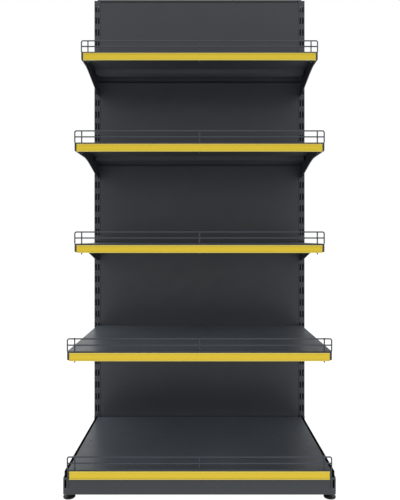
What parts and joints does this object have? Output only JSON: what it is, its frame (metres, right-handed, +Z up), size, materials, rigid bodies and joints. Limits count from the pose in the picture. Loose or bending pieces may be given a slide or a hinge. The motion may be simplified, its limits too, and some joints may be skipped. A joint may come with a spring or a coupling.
{
  "type": "retail shelving unit",
  "caption": "Single-sided shop shelving bay: slotted uprights, back panels, lift-off decks on hook-in brackets, ticket strips, wire guards, plinth, levelling feet.",
  "frame": {"origin": "on the floor, under the centre of the unit's box", "axes": "+X to the right as seen from the goods side, -Y towards the goods side, +Z up"},
  "size_m": [0.91, 0.577, 1.88],
  "materials": {
    "coated_steel": "satin anthracite powder coat",
    "ticket_plastic": "smooth yellow extrusion",
    "guard_wire": "satin dark grey coated wire",
    "black_plastic": "matt moulded black",
    "zinc_steel": "bright zinc plate"
  },
  "bodies": {
    "frame": {"top_rail": "coated_steel", "lower_tie": "coated_steel", "plinth": "coated_steel", "back_panel_1": "coated_steel", "back_panel_2": "coated_steel", "back_panel_3": "coated_steel", "back_panel_4": "coated_steel", "back_panel_5": "coated_steel", "upright_left": "coated_steel", "leveller_plate_left": "coated_steel", "base_foot_left": "coated_steel", "bracket_1_left": "coated_steel", "bracket_2_left": "coated_steel", "bracket_3_left": "coated_steel", "bracket_4_left": "coated_steel", "upright_right": "coated_steel", "leveller_plate_right": "coated_steel", "base_foot_right": "coated_steel", "bracket_1_right": "coated_steel", "bracket_2_right": "coated_steel", "bracket_3_right": "coated_steel", "bracket_4_right": "coated_steel", "deck_stop_left": "black_plastic", "deck_stop_right": "black_plastic", "top_rail_screws": "zinc_steel", "leveller_nuts_front": "zinc_steel", "leveller_nuts_rear": "zinc_steel"},
    "deck_1": {"deck_1": "coated_steel", "stiffener_1": "coated_steel", "ticket_strip_1": "ticket_plastic"},
    "guard_1": {"guard_1": "guard_wire"},
    "deck_2": {"deck_2": "coated_steel", "stiffener_2": "coated_steel", "ticket_strip_2": "ticket_plastic"},
    "guard_2": {"guard_2": "guard_wire"},
    "deck_3": {"deck_3": "coated_steel", "stiffener_3": "coated_steel", "ticket_strip_3": "ticket_plastic"},
    "guard_3": {"guard_3": "guard_wire"},
    "deck_4": {"deck_4": "coated_steel", "stiffener_4": "coated_steel", "ticket_strip_4": "ticket_plastic"},
    "guard_4": {"guard_4": "guard_wire"},
    "deck_base": {"deck_base": "coated_steel", "stiffener_base": "coated_steel", "ticket_strip_base": "ticket_plastic"},
    "guard_base": {"guard_base": "guard_wire"},
    "pad_front_left": {"pad_front_left": "black_plastic"},
    "stem_front_left": {"stem_front_left": "zinc_steel"},
    "pad_front_right": {"pad_front_right": "black_plastic"},
    "stem_front_right": {"stem_front_right": "zinc_steel"},
    "pad_rear_left": {"pad_rear_left": "black_plastic"},
    "stem_rear_left": {"stem_rear_left": "zinc_steel"},
    "pad_rear_right": {"pad_rear_right": "black_plastic"},
    "stem_rear_right": {"stem_rear_right": "zinc_steel"}
  },
  "joints": [
    {"name": "deck_1_lift", "type": "slide", "parent": "frame", "child": "deck_1", "axis": [0, 0, 1], "range_m": [0, 0.06]},
    {"name": "guard_1_lift", "type": "slide", "parent": "deck_1", "child": "guard_1", "axis": [0, 0, 1], "range_m": [0, 0.05]},
    {"name": "deck_2_lift", "type": "slide", "parent": "frame", "child": "deck_2", "axis": [0, 0, 1], "range_m": [0, 0.06]},
    {"name": "guard_2_lift", "type": "slide", "parent": "deck_2", "child": "guard_2", "axis": [0, 0, 1], "range_m": [0, 0.05]},
    {"name": "deck_3_lift", "type": "slide", "parent": "frame", "child": "deck_3", "axis": [0, 0, 1], "range_m": [0, 0.06]},
    {"name": "guard_3_lift", "type": "slide", "parent": "deck_3", "child": "guard_3", "axis": [0, 0, 1], "range_m": [0, 0.05]},
    {"name": "deck_4_lift", "type": "slide", "parent": "frame", "child": "deck_4", "axis": [0, 0, 1], "range_m": [0, 0.06]},
    {"name": "guard_4_lift", "type": "slide", "parent": "deck_4", "child": "guard_4", "axis": [0, 0, 1], "range_m": [0, 0.05]},
    {"name": "deck_base_lift", "type": "slide", "parent": "frame", "child": "deck_base", "axis": [0, 0, 1], "range_m": [0, 0.06]},
    {"name": "guard_base_lift", "type": "slide", "parent": "deck_base", "child": "guard_base", "axis": [0, 0, 1], "range_m": [0, 0.05]},
    {"name": "pad_front_left_reach", "type": "slide", "parent": "frame", "child": "pad_front_left", "axis": [0, 0, -1], "range_m": [0, 0.015]},
    {"name": "stem_front_left_turn", "type": "hinge", "parent": "pad_front_left", "child": "stem_front_left", "pos_m": [-0.435, -0.2435, 0.03], "axis": [0, 0, 1], "range_deg": [0, 3600]},
    {"name": "pad_front_right_reach", "type": "slide", "parent": "frame", "child": "pad_front_right", "axis": [0, 0, -1], "range_m": [0, 0.015]},
    {"name": "stem_front_right_turn", "type": "hinge", "parent": "pad_front_right", "child": "stem_front_right", "pos_m": [0.435, -0.2435, 0.03], "axis": [0, 0, 1], "range_deg": [0, 3600]},
    {"name": "pad_rear_left_reach", "type": "slide", "parent": "frame", "child": "pad_rear_left", "axis": [0, 0, -1], "range_m": [0, 0.015]},
    {"name": "stem_rear_left_turn", "type": "hinge", "parent": "pad_rear_left", "child": "stem_rear_left", "pos_m": [-0.435, 0.2585, 0.03], "axis": [0, 0, 1], "range_deg": [0, 3600]},
    {"name": "pad_rear_right_reach", "type": "slide", "parent": "frame", "child": "pad_rear_right", "axis": [0, 0, -1], "range_m": [0, 0.015]},
    {"name": "stem_rear_right_turn", "type": "hinge", "parent": "pad_rear_right", "child": "stem_rear_right", "pos_m": [0.435, 0.2585, 0.03], "axis": [0, 0, 1], "range_deg": [0, 3600]}
  ],
  "couplings": [
    {"joint": "stem_front_left_turn", "follows": "pad_front_left_reach", "rad_per_m": 4188.8},
    {"joint": "stem_front_right_turn", "follows": "pad_front_right_reach", "rad_per_m": 4188.8},
    {"joint": "stem_rear_left_turn", "follows": "pad_rear_left_reach", "rad_per_m": 4188.8},
    {"joint": "stem_rear_right_turn", "follows": "pad_rear_right_reach", "rad_per_m": 4188.8}
  ]
}
